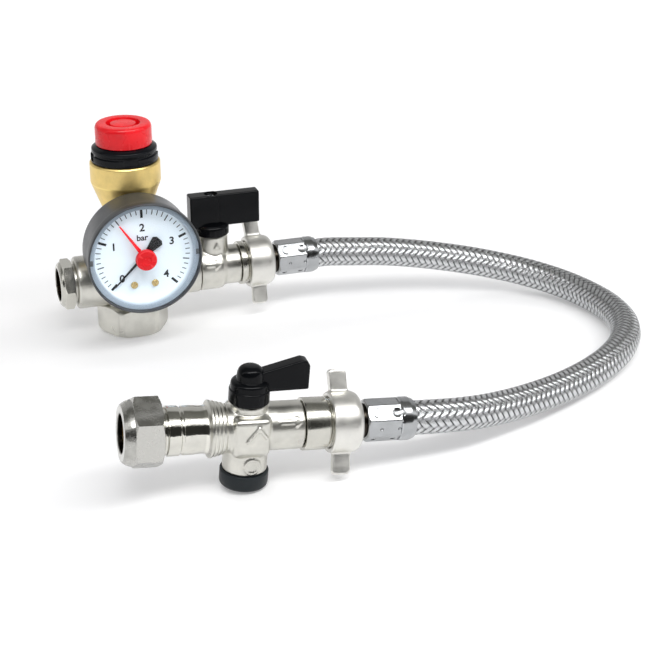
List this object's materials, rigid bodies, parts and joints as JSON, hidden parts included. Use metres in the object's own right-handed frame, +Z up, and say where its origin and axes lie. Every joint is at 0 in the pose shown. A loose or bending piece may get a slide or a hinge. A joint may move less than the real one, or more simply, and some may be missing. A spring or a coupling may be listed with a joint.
{
  "type": "filling loop",
  "caption": "Heating system filling loop: manifold with a pressure gauge and relief valve, lever valves, and a braided hose to a double check valve.",
  "frame": {"origin": "middle of the surface that the part stands on, under the box around everything but the hose", "axes": "+X along the rear pipe towards the hose's bend, +Y from the front valve to the manifold, +Z up"},
  "size_m": [0.2641, 0.199, 0.1005],
  "materials": {
    "nickel_plate": "satin nickel plate",
    "brass": "bare, as forged and turned",
    "steel": "bright, pressed",
    "chromed_ball": "polished",
    "black_plastic": "satin, moulded",
    "grey_plastic": "satin, moulded",
    "red_plastic": "semi-gloss, moulded",
    "white_plastic": "smooth, moulded",
    "dial_paint": "matt, printed",
    "needle_paint": "matt",
    "clear_plastic": "clear, polished",
    "rubber": "matt, moulded",
    "braid": "bright woven wire over rubber"
  },
  "bodies": {
    "loop": {"braided_hose": "braid", "check_body_1": "white_plastic", "check_body_2": "white_plastic", "drain_cap_seal": "rubber", "front_compression_nut": "nickel_plate", "front_ferrule": "steel", "front_hose_tail": "brass", "front_olive": "brass", "front_seat_left": "white_plastic", "front_seat_right": "white_plastic", "front_stem_oring": "rubber", "front_valve_body": "nickel_plate", "front_valve_tailpiece": "nickel_plate", "front_washer": "rubber", "gauge_bourdon_tube": "brass", "gauge_case": "grey_plastic", "gauge_dial": "dial_paint", "gauge_dial_screw_1": "brass", "gauge_dial_screw_2": "brass", "gauge_lens": "clear_plastic", "gauge_movement": "brass", "gauge_stem": "brass", "manifold_body": "nickel_plate", "rear_compression_nut": "nickel_plate", "rear_ferrule": "steel", "rear_hose_tail": "brass", "rear_olive": "brass", "rear_seat_left": "white_plastic", "rear_seat_right": "white_plastic", "rear_stem_oring": "rubber", "rear_valve_body": "nickel_plate", "rear_valve_tailpiece": "nickel_plate", "rear_washer": "rubber", "relief_body": "brass", "relief_collar": "black_plastic", "relief_diaphragm": "rubber", "relief_spring": "steel"},
    "relief_spindle": {"relief_spindle": "brass", "relief_disc": "rubber"},
    "relief_knob": {"relief_knob": "red_plastic"},
    "gauge_needle": {"gauge_needle": "needle_paint"},
    "gauge_sector": {"gauge_sector": "brass"},
    "gauge_set_pointer": {"gauge_set_pointer": "red_plastic"},
    "rear_lever": {"rear_handle": "black_plastic", "rear_handle_screw": "steel", "rear_stem": "brass", "rear_ball": "chromed_ball"},
    "front_lever": {"front_handle": "black_plastic", "front_stem": "brass", "front_ball": "chromed_ball"},
    "rear_wing_nut": {"rear_wing_nut": "nickel_plate"},
    "front_wing_nut": {"front_wing_nut": "nickel_plate"},
    "drain_cap": {"drain_cap": "black_plastic"},
    "check_poppet_1": {"check_poppet_1": "white_plastic", "check_spring_1": "steel"},
    "check_poppet_2": {"check_poppet_2": "white_plastic", "check_spring_2": "steel"}
  },
  "joints": [
    {"name": "relief_knob_turn", "type": "hinge", "parent": "relief_spindle", "child": "relief_knob", "pos_m": [-0.02554, 0.07704, 0.095], "axis": [0, 0, 1], "range_deg": [0, 90]},
    {"name": "relief_lift", "type": "slide", "parent": "loop", "child": "relief_spindle", "axis": [0, 0, 1], "range_m": [0, 0.002], "stiffness_N_per_m": 800, "springref_m": -0.002, "deforming": ["relief_spring"]},
    {"name": "gauge_needle_turn", "type": "hinge", "parent": "loop", "child": "gauge_needle", "pos_m": [-0.02554, 0.04404, 0.0475], "axis": [0, 1, 0], "range_deg": [0, 270], "stiffness_Nm_per_rad": 0.0004},
    {"name": "gauge_sector_turn", "type": "hinge", "parent": "loop", "child": "gauge_sector", "pos_m": [-0.03414, 0.04704, 0.0475], "axis": [0, 1, 0], "range_deg": [-33.3, 0]},
    {"name": "set_pointer_turn", "type": "hinge", "parent": "loop", "child": "gauge_set_pointer", "pos_m": [-0.02554, 0.04104, 0.0475], "axis": [0, 1, 0], "range_deg": [-101.25, 168.75]},
    {"name": "rear_lever_turn", "type": "hinge", "parent": "loop", "child": "rear_lever", "pos_m": [0.01426, 0.07704, 0.02525], "axis": [0, 0, -1], "range_deg": [0, 90]},
    {"name": "front_lever_turn", "type": "hinge", "parent": "loop", "child": "front_lever", "pos_m": [-0.01544, -0.08556, 0.02471], "axis": [-0.0845, 0.0038, -0.9964], "range_deg": [0, 90]},
    {"name": "rear_wing_nut_turn", "type": "hinge", "parent": "loop", "child": "rear_wing_nut", "pos_m": [0.02896, 0.07704, 0.02525], "axis": [1, 0, 0], "continuous": true},
    {"name": "front_wing_nut_turn", "type": "hinge", "parent": "loop", "child": "front_wing_nut", "pos_m": [0.01512, -0.08695, 0.02211], "axis": [0.9954, -0.0452, -0.0845], "continuous": true},
    {"name": "drain_cap_turn", "type": "hinge", "parent": "loop", "child": "drain_cap", "pos_m": [-0.01713, -0.08549, 0.00478], "axis": [-0.0845, 0.0038, -0.9964], "continuous": true},
    {"name": "check_poppet_1_lift", "type": "slide", "parent": "loop", "child": "check_poppet_1", "axis": [0.9954, -0.0452, -0.0845], "range_m": [0, 0.0018], "stiffness_N_per_m": 40, "springref_m": -0.002},
    {"name": "check_poppet_2_lift", "type": "slide", "parent": "loop", "child": "check_poppet_2", "axis": [0.9954, -0.0452, -0.0845], "range_m": [0, 0.0018], "stiffness_N_per_m": 40, "springref_m": -0.002}
  ],
  "couplings": [
    {"joint": "relief_knob_turn", "follows": "relief_lift", "rad_per_m": 785.4},
    {"joint": "gauge_sector_turn", "follows": "gauge_needle_turn", "ratio": -0.12162}
  ]
}
